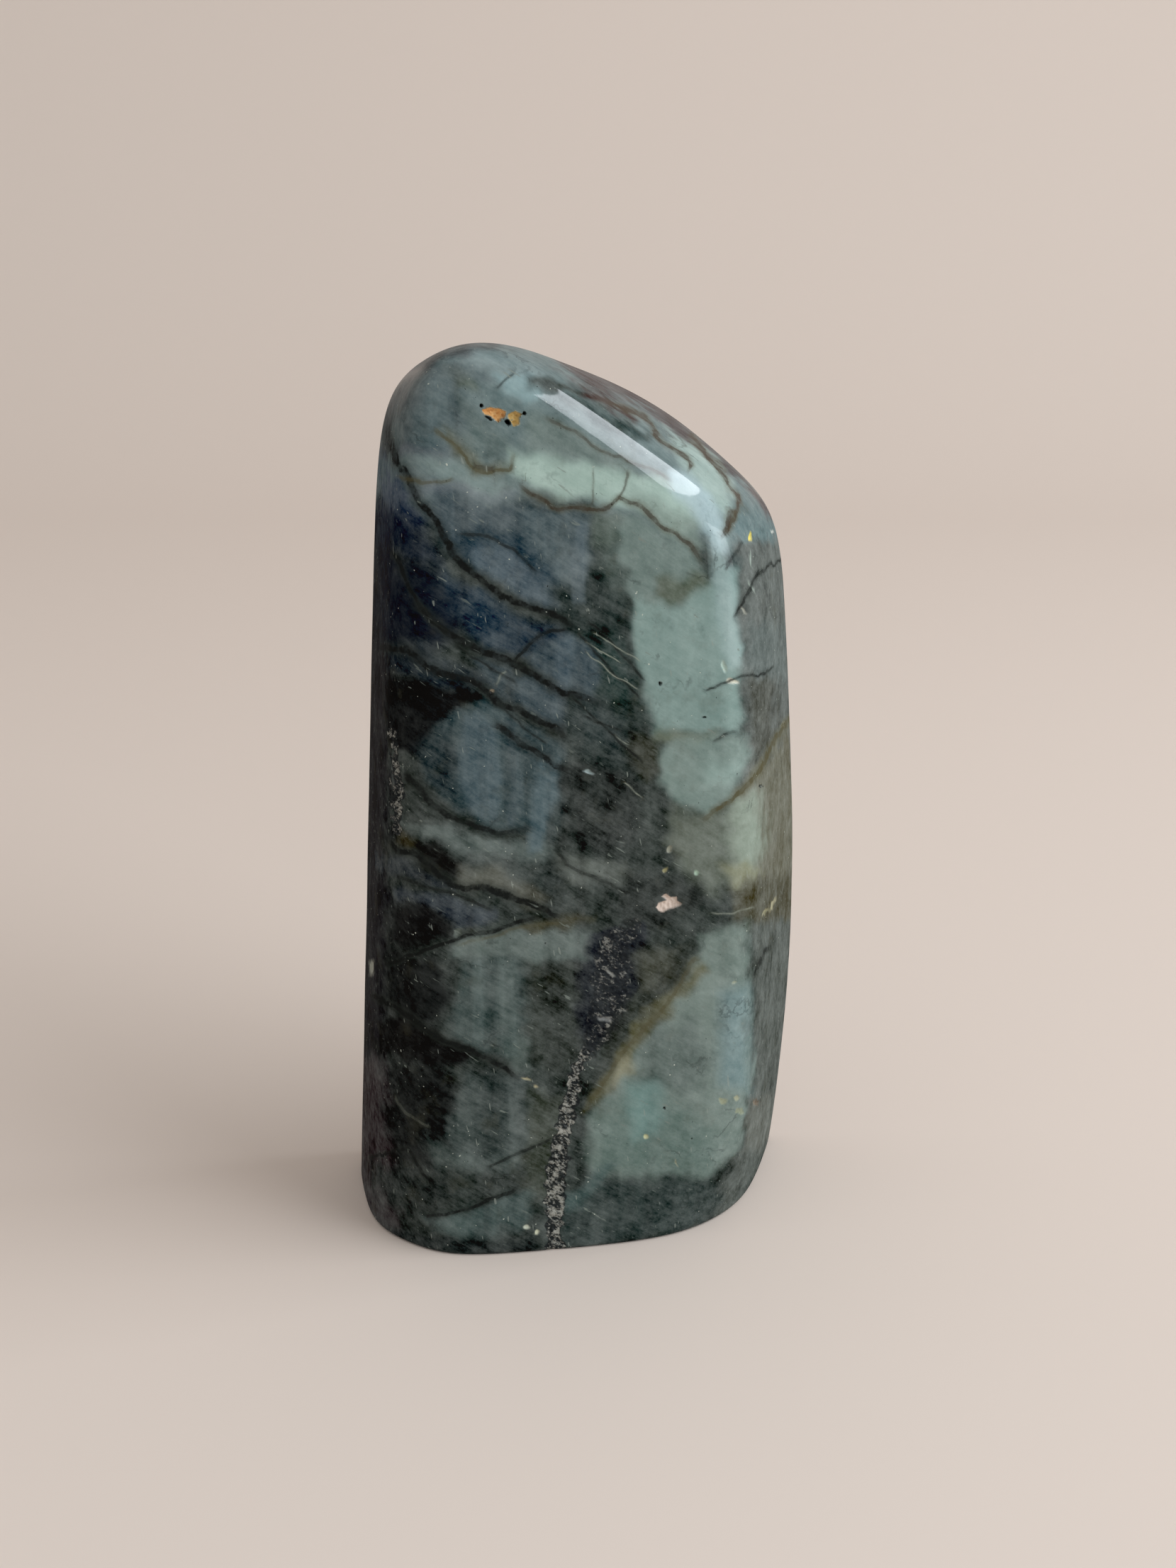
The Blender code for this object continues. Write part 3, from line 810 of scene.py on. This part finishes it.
def curve_points(points):
    """A smooth line through the points, as short straight pieces."""
    ends = np.array([points[0], *points, points[-1]], dtype=float)
    line = []
    for a, b, c, d in zip(ends, ends[1:], ends[2:], ends[3:]):
        for part in np.arange(CURVE_STEPS) / CURVE_STEPS:
            bend = 2 * b + (c - a) * part + (2 * a - 5 * b + 4 * c - d) * part**2
            line.append((bend + (3 * b - a - 3 * c + d) * part**3) / 2)
    return np.array([*line, ends[-1]])


def vein_field(spots, half_width, line):
    """Signed distance to a vein in half widths, and how far along it the nearest place is."""
    nearest = np.full(len(spots), np.inf)
    signed, along = np.zeros(len(spots)), np.zeros(len(spots))
    pieces = len(line) - 1
    for index in range(pieces):
        start, way = line[index], line[index + 1] - line[index]
        part = np.clip((spots - start) @ way / (way @ way), 0, 1)
        off = spots - start - part[:, None] * way
        gap = np.linalg.norm(off, axis=1)
        side = np.sign(way[0] * (spots[:, 1] - start[1]) - way[1] * (spots[:, 0] - start[0]))
        closer = gap < nearest
        nearest = np.where(closer, gap, nearest)
        signed = np.where(closer, gap * side, signed)
        along = np.where(closer, (index + part) / pieces, along)
    return signed / half_width, along


def vein_layers(spots, in_front):
    """Veins spread over layers, so that no two that meet share a layer. Each layer gives
    a signed distance in half widths, a strength and a kind. The pale ones stay in front."""
    layers = []
    for _, half_width, kind, strength, points in VEINS:
        line = curve_points(points)
        low, high = line.min(axis=0) - VEIN_MARGIN, line.max(axis=0) + VEIN_MARGIN
        near = np.flatnonzero(((spots > low) & (spots < high)).all(axis=1))
        gap, along = vein_field(spots[near], half_width, line)
        ends = smooth_step(np.minimum(along, 1 - along) / VEIN_TAPER)
        shown = strength * ends * (np.abs(gap) < VEIN_REACH + VEIN_SPARE / half_width)
        if kind == PALE_VEIN:
            shown = shown * in_front[near]
        used = near[shown > 0]
        for layer in layers:
            if not layer[used, 1].any():
                break
        else:
            layer = np.zeros((len(spots), 3))
            layers.append(layer)
        layer[used] = np.stack([gap, shown, np.full(len(gap), kind)], axis=1)[shown > 0]
    return layers


def add_attribute(mesh, name, rows):
    """Keep three numbers for each point of the mesh, under a name that a material can read."""
    layer = mesh.attributes.new(name, "FLOAT_VECTOR", "POINT")
    layer.data.foreach_set("vector", np.ascontiguousarray(rows, dtype=np.float32).ravel())


def press_flaws(points, seen, facing, colour):
    """Paint the flaws' colours, and find for each point how far the flaws reach in, how much
    it crumbles and how bare it is of polish."""
    press, crumble, bare = (np.zeros(len(points)) for _ in range(3))
    jitter = noise_rows(points, JITTER_SIZE)
    grit = noise_values(points, GRIT_SIZE)
    shapes = [
        (hue, depth, inside_outline(seen + jitter * OUTLINE_JITTER, outline) / OUTLINE_WALL)
        for _, hue, depth, outline in OPEN_FLAWS
    ]
    for _, hue, depth, middle, half, turn in FLAWS:
        inside = in_oval(seen + jitter * OVAL_JITTER, middle, half, turn) * min(half)
        shapes.append((hue, depth, inside / OVAL_WALL - OVAL_INSET))
    for hue, depth, inside in shapes:
        mask = smooth_step(inside + 0.5) * facing
        fall = np.clip(inside / FLOOR_START, 0, 1)
        hollow = np.sqrt(np.clip(1 - (1 - fall) ** 2, 0, 1))
        press = np.maximum(press, depth * hollow * facing * (1 + 0.5 * grit))
        colour += (linear(hue) - colour) * mask[:, None]
        bare = np.maximum(bare, mask)
    for _, depth, openness, run in CRUMBLING:
        inside = in_run(seen + jitter * RUN_JITTER, run)
        mask = smooth_step(inside * RUN_STEEPNESS + 0.3) * facing
        crumble = np.maximum(crumble, mask * openness)
        press = np.maximum(press, depth * mask * np.clip(0.6 + 1.6 * grit, 0, 2))
    return press, crumble, bare


def finished_places(points, press):
    """Points after polishing and wear: wavering along the skin and pressed in at the flaws,
    level near the base, so that it stays flat."""
    out = outward(points)
    on_side = points[:, 2] > RIM_BEVEL
    level = out * (1, 1, 0)
    level /= np.linalg.norm(level, axis=1, keepdims=True) + 1e-9
    way = np.where(on_side[:, None], out, level)
    waver = np.where(on_side, noise_values(points, WAVER_SIZE) * WAVER, 0)
    return points + way * (waver - press)[:, None]


def build_stone():
    """The stone's fine skin, with its colour, finish and vein layers on its points."""
    noise.seed_set(SWIRL_SEED)
    bm = rough_block()
    verts = bm.verts[:]
    move(verts, onto_skin(places(verts)))
    bmesh.ops.recalc_face_normals(bm, faces=bm.faces)
    saw_base(bm)
    refine(bm)

    points = places(bm.verts)
    seen = photo_place(points)
    deep = buried(points)
    in_front = 1 - smooth_step(deep / FRONT_DEPTH)
    spots = pattern_place(points, deep)
    colour = np.tile(linear(BODY_COLOUR), (len(points), 1))
    # the stone's clouds, with the painted shade on the left flank and painted highlights among
    # them
    paint_clouds(colour, SWIRLED_CLOUDS, spots + swirled(points, CLOUD_SWIRLS))
    # painted reflections: the sheen round the shoulder and soft upright reflection bands, in
    # front only
    paint_clouds(colour, PAINTED_REFLECTIONS, spots, in_front)
    layers = vein_layers(spots, in_front)
    press, crumble, bare = press_flaws(points, seen, deep < SKIN_DEPTH, colour)
    move(bm.verts, finished_places(points, press) * MM)

    mesh = bpy.data.meshes.new("polished_stone")
    bm.to_mesh(mesh)
    bm.free()
    mesh.shade_smooth()
    mesh.set_sharp_from_angle(angle=SHARP_EDGE)
    add_attribute(mesh, "wash", colour)
    add_attribute(mesh, "flaws", np.stack([crumble, bare, deep], axis=1))
    for number, layer in enumerate(layers):
        add_attribute(mesh, f"veins {number}", layer)
    stone = bpy.data.objects.new("polished_stone", mesh)
    bpy.context.scene.collection.objects.link(stone)
    return stone, len(layers)


class Wire:
    """A socket in a material's nodes that can be reckoned with like a number."""

    tree = None

    def __init__(self, socket):
        self.socket = socket

    @classmethod
    def make(cls, kind, settings=None, inputs=None, output=0):
        """Add a node: its settings first, then the values or links of its sockets."""
        node = cls.tree.nodes.new(kind)
        for name, value in (settings or {}).items():
            if name == "stops":
                ramp = node.color_ramp.elements
                for _ in range(len(value) - 2):
                    ramp.new(0.5)
                for element, (place, colour) in zip(ramp, value):
                    element.position = place
                    element.color = (*colour, 1)
            else:
                setattr(node, name, value)
        for name, value in (inputs or {}).items():
            if isinstance(value, Wire):
                cls.tree.links.new(value.socket, node.inputs[name])
            else:
                node.inputs[name].default_value = value
        return cls(node.outputs[output])

    def math(self, operation, *others):
        """A Math node on this value and, where it takes them, others."""
        values = dict(enumerate((self, *others)))
        return Wire.make("ShaderNodeMath", {"operation": operation}, values)

    def __add__(self, other):
        return self.math("ADD", other)

    __radd__ = __add__

    def __mul__(self, other):
        return self.math("MULTIPLY", other)

    __rmul__ = __mul__

    def __sub__(self, other):
        return self.math("SUBTRACT", other)

    def __rsub__(self, other):
        return Wire.make("ShaderNodeMath", {"operation": "SUBTRACT"}, {0: other, 1: self})

    def __truediv__(self, other):
        return self.math("DIVIDE", other)

    def axis(self, name):
        """One of the three numbers of a place, a direction or an attribute."""
        return Wire.make("ShaderNodeSeparateXYZ", inputs={0: self}, output=name)

    def step(self, low, high, to_low=0.0, to_high=1.0):
        """Rise smoothly from to_low to to_high as the value goes from low to high."""
        inputs = {0: self, 1: low, 2: high, 3: to_low, 4: to_high}
        return Wire.make("ShaderNodeMapRange", {"interpolation_type": "SMOOTHSTEP"}, inputs)


def tint(colour):
    """A colour of 0 to 255 as a socket value."""
    return (*linear(colour), 1)


def mixed(below, above, factor, blend="MIX"):
    """One colour laid over another."""
    settings = {"data_type": "RGBA", "blend_type": blend, "clamp_factor": True}
    return Wire.make("ShaderNodeMix", settings, {0: factor, 6: below, 7: above}, output=2)


def grains(where, per_metre, detail, roughness, output=0):
    """Noise with this many grains to the metre."""
    inputs = {"Vector": where, "Scale": per_metre, "Detail": detail, "Roughness": roughness}
    return Wire.make("ShaderNodeTexNoise", {"normalize": True}, inputs, output)


def grey(value):
    """A number as a colour."""
    return Wire.make("ShaderNodeCombineColor", inputs={0: value, 1: value, 2: value})


def drawn_out(where, turn, shrink):
    """Places turned so that grains stretch along a line this many degrees below level."""
    turned = {"Vector": where, "Rotation": (0, math.radians(-turn), 0)}
    turned = Wire.make("ShaderNodeMapping", inputs=turned)
    return Wire.make("ShaderNodeMapping", inputs={"Vector": turned, "Scale": (shrink, 1, 1)})


FIBRE_TURN = 33  # degrees below level, down to the right
ACROSS_TURN = 81  # the second, fainter set of cleavage lines
UPRIGHT_TURN = 90

# Colours of the grain and the small marks, 0 to 255
SMOKE = (24, 30, 29)
OLIVE_STAIN = (66, 64, 46)
CRACK = (18, 22, 21)
SPLINTER = (118, 127, 120)
CLEAVAGE = (140, 148, 140)
SPARK = (186, 192, 180)
PINHOLE = (10, 12, 12)
CRUMBLE_BED = (28, 31, 33)
CRUMBLE_GRAIN = (158, 158, 150)
TABLE = (222, 209, 199)
TABLE_ROUGHNESS = 0.75

# A vein's core and the stain beside it, for the kinds black, brown, olive and pale
VEIN_INKS = (
    (0.0, linear((12, 16, 15))),
    (0.34, linear((56, 46, 34))),
    (0.67, linear((78, 74, 52))),
    (1.0, linear((160, 166, 152))),
)
VEIN_STAINS = (
    (0.0, linear((38, 44, 40))),
    (0.34, linear((84, 80, 60))),
    (0.67, linear((96, 96, 76))),
    (1.0, linear((110, 118, 108))),
)


def smoky_feldspar(where, wash, side):
    """The clouds' colour broken up by smoky grain, drawn-out fibres and upright curtains, which
    are faint streaks of painted reflection on all but the stone's ends.
    """
    smoke = grains(where, 210, 6, 0.78)
    fibre = grains(drawn_out(where, FIBRE_TURN, 0.12), 900, 6, 0.8)
    upright = grains(drawn_out(where, UPRIGHT_TURN, 0.06), 420, 3, 0.6)
    green = Wire.make("ShaderNodeSeparateColor", inputs={0: wash}, output="Green")
    lift = green.step(0.0, 0.04, 0.3, 1.0) * green.step(0.1, 0.3, 1.0, 0.8)
    grain = ((smoke - 0.5) * 0.3 + (fibre - 0.5) * 0.2) * lift
    mist = Wire.make("ShaderNodeCombineColor", inputs={0: grain * 0.9, 1: grain, 2: grain * 0.96})
    # painted reflection: faint upright streaks, strongest in the darker clouds, gone on the ends
    curtain = 1 + (upright - 0.5) * side.step(0.3, 0.7, 1.3, 0.0) * green.step(0.1, 0.2, 1.0, 0.3)
    colour = mixed(mixed(wash, grey(curtain), 1.0, "MULTIPLY"), mist, 1.0, "ADD")
    shade = grains(where, 330, 6, 0.7).step(0.55, 0.72, 0.0, 0.22)
    colour = mixed(colour, tint(SMOKE), shade)
    stain = grains(where, 240, 5, 0.6).step(0.56, 0.72, 0.0, 0.2)
    return mixed(colour, tint(OLIVE_STAIN), stain), smoke


def hairline_cracks(where, colour):
    """Fine dark cracks between drawn-out cells, in patches."""
    bent = grains(where, 260, 4, 0.6, "Color")
    bent = Wire.make("ShaderNodeVectorMath", {"operation": "SCALE"}, {0: bent, "Scale": 0.006})
    bent = Wire.make("ShaderNodeVectorMath", {"operation": "ADD"}, {0: where, 1: bent})
    cells = {"Vector": drawn_out(bent, FIBRE_TURN, 0.45), "Scale": 230.0}
    hair = Wire.make("ShaderNodeTexVoronoi", {"feature": "DISTANCE_TO_EDGE"}, cells)
    hair = hair.step(0.0, 0.05, 1.0, 0.0) * grains(where, 190, 3, 0.6).step(0.52, 0.68, 0.0, 0.4)
    return mixed(colour, tint(CRACK), hair)


def veins_and_seams(where, colour, vein_count):
    """Each layer's veins: a stain that fades to both sides, and a ragged, worn dark core."""
    ragged = grains(where, 1100, 4, 0.75) * 2.0 - 1.0
    worn = grains(where, 800, 4, 0.65).step(0.36, 0.58, 0.45, 1.0)
    for number in range(vein_count):
        name = {"attribute_name": f"veins {number}"}
        layer = Wire.make("ShaderNodeAttribute", name, output="Vector")
        gap, strength, kind = (layer.axis(axis) for axis in "XYZ")
        gap = (gap + ragged).math("ABSOLUTE")
        ink = Wire.make("ShaderNodeValToRGB", {"stops": VEIN_INKS}, {0: kind / PALE_VEIN})
        stain = Wire.make("ShaderNodeValToRGB", {"stops": VEIN_STAINS}, {0: kind / PALE_VEIN})
        colour = mixed(colour, stain, gap.step(0.8, 3.0, 0.5, 0.0) * strength)
        colour = mixed(colour, ink, gap.step(0.6, 1.2, 1.0, 0.0) * strength * worn)
    return colour


def small_crystals(where, colour):
    """Bright splinters along the fibres and across them, loose bright grains and pinholes."""
    patches = grains(where, 130, 3, 0.6).step(0.42, 0.62, 0.0, 0.75)
    splinter = grains(drawn_out(where, FIBRE_TURN, 0.13), 2300, 2, 0.5).step(0.68, 0.72)
    colour = mixed(colour, tint(SPLINTER), splinter * patches)
    across = grains(drawn_out(where, ACROSS_TURN, 0.2), 2600, 1, 0.5).step(0.74, 0.78)
    colour = mixed(colour, tint(CLEAVAGE), across * 0.5)
    spark = grains(where, 2300, 1, 0.5).step(0.78, 0.81)
    colour = mixed(colour, tint(SPARK), spark * 0.8)
    pin = grains(where, 1800, 2, 0.5).step(0.245, 0.225)
    return mixed(colour, tint(PINHOLE), pin * 0.8)


def stone_material(vein_count):
    """Polished labradorite, dull and rough only where the seam crumbles or a flaw is bare."""
    material = bpy.data.materials.new("polished labradorite")
    material.use_nodes = True
    Wire.tree = material.node_tree
    shader = material.node_tree.nodes["Principled BSDF"]
    where = Wire.make("ShaderNodeTexCoord", output="Object")
    facing = Wire.make("ShaderNodeTexCoord", output="Normal")
    side = facing.axis("X").math("ABSOLUTE")
    raised = facing.axis("Z")
    wash = Wire.make("ShaderNodeAttribute", {"attribute_name": "wash"}, output="Color")
    flaws = Wire.make("ShaderNodeAttribute", {"attribute_name": "flaws"}, output="Vector")
    crumble, bare = flaws.axis("X"), flaws.axis("Y")

    colour, smoke = smoky_feldspar(where, wash, side)
    colour = hairline_cracks(where, colour)
    colour = veins_and_seams(where, colour, vein_count)
    colour = small_crystals(where, colour)

    # The crumbling seam: dark, with pale broken grains where it is most open
    broken = grains(drawn_out(where, FIBRE_TURN, 0.5), 3400, 3, 0.65)
    clump = grains(where, 900, 3, 0.6)
    broken = broken * 0.6 + clump * 0.5
    pale_grains = (broken + crumble * 0.1).step(0.6, 0.76)
    seam = mixed(tint(CRUMBLE_BED), tint(CRUMBLE_GRAIN), pale_grains)
    colour = mixed(colour, seam, crumble.step(0.0, 0.5, 0.0, 0.85))

    # The polish: a clear coat, weaker where the skin stands upright, on the very top and on
    # the stone's ends, so that the reflections lie where the real stone's do
    rough = 0.30 + smoke * 0.12
    rough = rough + (crumble + bare).math("MINIMUM", 1.0) * 0.3
    coat = (1 - (crumble * 0.75 + bare).math("MINIMUM", 1.0)) * raised.step(0.12, 0.42, 0.15, 0.8)
    coat = coat * raised.step(0.6, 0.8, 1.0, 0.3) * side.step(0.55, 0.95, 1.0, 0.25)
    relief = Wire.make(
        "ShaderNodeBump",
        inputs={"Strength": crumble * 0.8 + bare * 0.5, "Distance": 0.0002, "Height": broken},
        output="Normal",
    )
    links = {"Base Color": colour, "Roughness": rough, "Coat Weight": coat, "Normal": relief}
    for name, wire in links.items():
        material.node_tree.links.new(wire.socket, shader.inputs[name])
    shader.inputs["Metallic"].default_value = 0.0
    shader.inputs["Specular IOR Level"].default_value = 0.0
    shader.inputs["Coat Roughness"].default_value = 0.045
    shader.inputs["Coat IOR"].default_value = 1.5
    return material


def plain_material(name, colour, roughness):
    """One colour of 0 to 255 and one roughness all over."""
    material = bpy.data.materials.new(name)
    material.use_nodes = True
    shader = material.node_tree.nodes["Principled BSDF"]
    shader.inputs["Base Color"].default_value = tint(colour)
    shader.inputs["Roughness"].default_value = roughness
    return material


def build_floor():
    """A pale table top that sweeps up into a wall behind the stone, in metres."""
    half, front, start, bend, wall = 1.5, -1.2, 0.45, 0.35, 1.2
    bm = bmesh.new()
    ends = [bm.verts.new((side, front, 0)) for side in (-half, half)]
    edge = bm.edges.new(ends)
    run = bmesh.ops.extrude_edge_only(bm, edges=[edge])["geom"]
    moved = [item for item in run if isinstance(item, bmesh.types.BMVert)]
    bmesh.ops.translate(bm, verts=moved, vec=(0, start - front, 0))
    edge = [item for item in run if isinstance(item, bmesh.types.BMEdge)]
    sweep = bmesh.ops.spin(
        bm,
        geom=edge + moved,
        cent=(0, start, bend),
        axis=(1, 0, 0),
        angle=math.pi / 2,
        steps=24,
    )["geom_last"]
    edge = [item for item in sweep if isinstance(item, bmesh.types.BMEdge)]
    run = bmesh.ops.extrude_edge_only(bm, edges=edge)["geom"]
    moved = [item for item in run if isinstance(item, bmesh.types.BMVert)]
    bmesh.ops.translate(bm, verts=moved, vec=(0, 0, wall))
    bmesh.ops.recalc_face_normals(bm, faces=bm.faces)
    mesh = bpy.data.meshes.new("table")
    bm.to_mesh(mesh)
    bm.free()
    mesh.shade_smooth()
    mesh.materials.append(plain_material("pale table", TABLE, TABLE_ROUGHNESS))
    floor = bpy.data.objects.new("table", mesh)
    bpy.context.scene.collection.objects.link(floor)


def add_panel(name, place, target, size, roll, watts, colour):
    """A soft rectangular light, its long side turned by roll degrees."""
    light = bpy.data.lights.new(name, "AREA")
    light.shape = "RECTANGLE"
    light.size, light.size_y = size
    light.energy = watts
    light.color = colour
    panel = bpy.data.objects.new(name, light)
    panel.location = place
    panel.rotation_mode = "QUATERNION"
    aim = (Vector(target) - Vector(place)).to_track_quat("-Z", "Y")
    panel.rotation_quaternion = aim @ Quaternion((0, 0, 1), math.radians(roll))
    bpy.context.scene.collection.objects.link(panel)


def light_stone():
    """A long high panel that gives the streak on the shoulder, a low one, and even light."""
    daylight = (0.9, 0.95, 1.0)
    before, middle = (0, -0.385, 0.05), (0, 0, 0.09)
    add_panel("high panel", (0.765, -0.345, 0.69), before, (1.24, 0.22), 5, 8.2, daylight)
    add_panel("low panel", (0.86, -0.50, 0.22), middle, (0.30, 0.26), 0, 1.6, daylight)
    world = bpy.data.worlds.new("room light")
    bpy.context.scene.world = world
    world.use_nodes = True
    sky = world.node_tree.nodes["Background"]
    sky.inputs["Color"].default_value = (1.0, 0.99, 0.975, 1)
    sky.inputs["Strength"].default_value = 0.58


def add_camera():
    """The photograph's view: its place, its tilt and its lens."""
    camera = bpy.data.cameras.new("camera")
    camera.lens = LENS
    camera.sensor_width = SENSOR
    camera.clip_start = 0.01
    holder = bpy.data.objects.new("camera", camera)
    holder.location = Vector(EYE) * MM
    holder.rotation_euler = (math.pi / 2 - LOOK_DOWN, 0, 0)
    bpy.context.scene.collection.objects.link(holder)
    bpy.context.scene.camera = holder


bpy.context.scene.view_settings.view_transform = "Standard"
add_camera()
light_stone()
build_floor()
stone, vein_count = build_stone()
stone.data.materials.append(stone_material(vein_count))
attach(stone, "root")
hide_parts("labradorite_stone")
